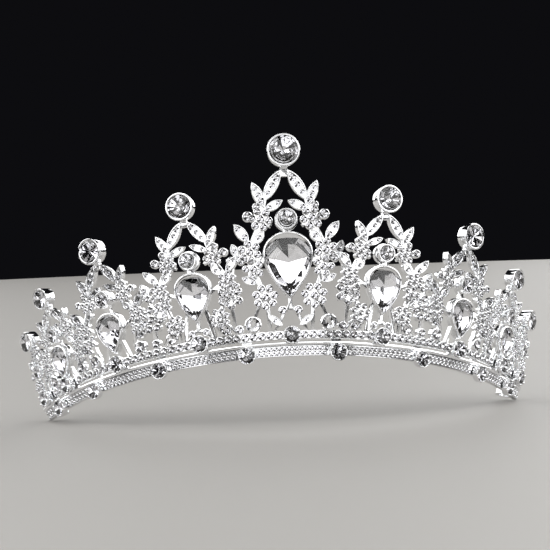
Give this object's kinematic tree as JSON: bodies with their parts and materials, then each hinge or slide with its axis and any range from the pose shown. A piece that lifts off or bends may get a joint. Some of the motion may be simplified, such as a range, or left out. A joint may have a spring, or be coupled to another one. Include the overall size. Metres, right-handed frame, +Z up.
{
  "type": "bridal tiara",
  "caption": "Bridal tiara: curved band with two stone rows, a polished rail and graduated pointed openwork peaks set with round and pear stones, tipped as worn.",
  "frame": {"origin": "The middle of the band's front, in the lower row, where the band rests against the head.", "axes": "+X to the wearer's left, which is the viewer's right, -Y forwards past the centre peak, +Z up. The band's own axis is tipped back 27 degrees from +Z about X, as the tiara is worn, so the front is raised and the two ends are lowest."},
  "size_m": [0.157, 0.0475, 0.0825],
  "materials": {
    "silver_plate": "bright silver plate on cast alloy",
    "polished_rail": "mirror-polished silver plate",
    "crystal": "clear faceted foil-backed glass stone",
    "small_crystal": "small clear foil-backed rhinestone"
  },
  "bodies": {
    "root": {"lower_channel": "silver_plate", "rail": "polished_rail", "upper_channel": "silver_plate", "bridges": "silver_plate", "lower_row_stones": "small_crystal", "upper_row_stones": "small_crystal", "accent_cups": "silver_plate", "accent_stones": "crystal", "end_loop_left": "silver_plate", "end_loop_right": "silver_plate", "frame_centre": "silver_plate", "frame_right_1": "silver_plate", "frame_right_2": "silver_plate", "frame_right_3": "silver_plate", "frame_right_4": "silver_plate", "frame_left_1": "silver_plate", "frame_left_2": "silver_plate", "frame_left_3": "silver_plate", "frame_left_4": "silver_plate", "top_cup_centre": "silver_plate", "top_cup_right_1": "silver_plate", "top_cup_right_2": "silver_plate", "top_cup_right_3": "silver_plate", "top_cup_right_4": "silver_plate", "top_cup_left_1": "silver_plate", "top_cup_left_2": "silver_plate", "top_cup_left_3": "silver_plate", "top_cup_left_4": "silver_plate", "top_stone_centre": "crystal", "top_stone_right_1": "crystal", "top_stone_right_2": "crystal", "top_stone_right_3": "crystal", "top_stone_right_4": "crystal", "top_stone_left_1": "crystal", "top_stone_left_2": "crystal", "top_stone_left_3": "crystal", "top_stone_left_4": "crystal", "pear_stone_centre": "crystal", "pear_stone_right_1": "crystal", "pear_stone_right_2": "crystal", "pear_stone_right_3": "crystal", "pear_stone_left_1": "crystal", "pear_stone_left_2": "crystal", "pear_stone_left_3": "crystal", "pear_cups": "silver_plate", "mid_cups": "silver_plate", "mid_stones": "crystal", "base_cups": "silver_plate", "base_stones": "crystal", "link_frames": "silver_plate", "flower_stones_centre": "small_crystal", "flower_stones_left": "small_crystal", "flower_stones_right": "small_crystal", "leaf_stones_centre": "small_crystal", "leaf_stones_left": "small_crystal", "leaf_stones_right": "small_crystal"}
  },
  "joints": []
}
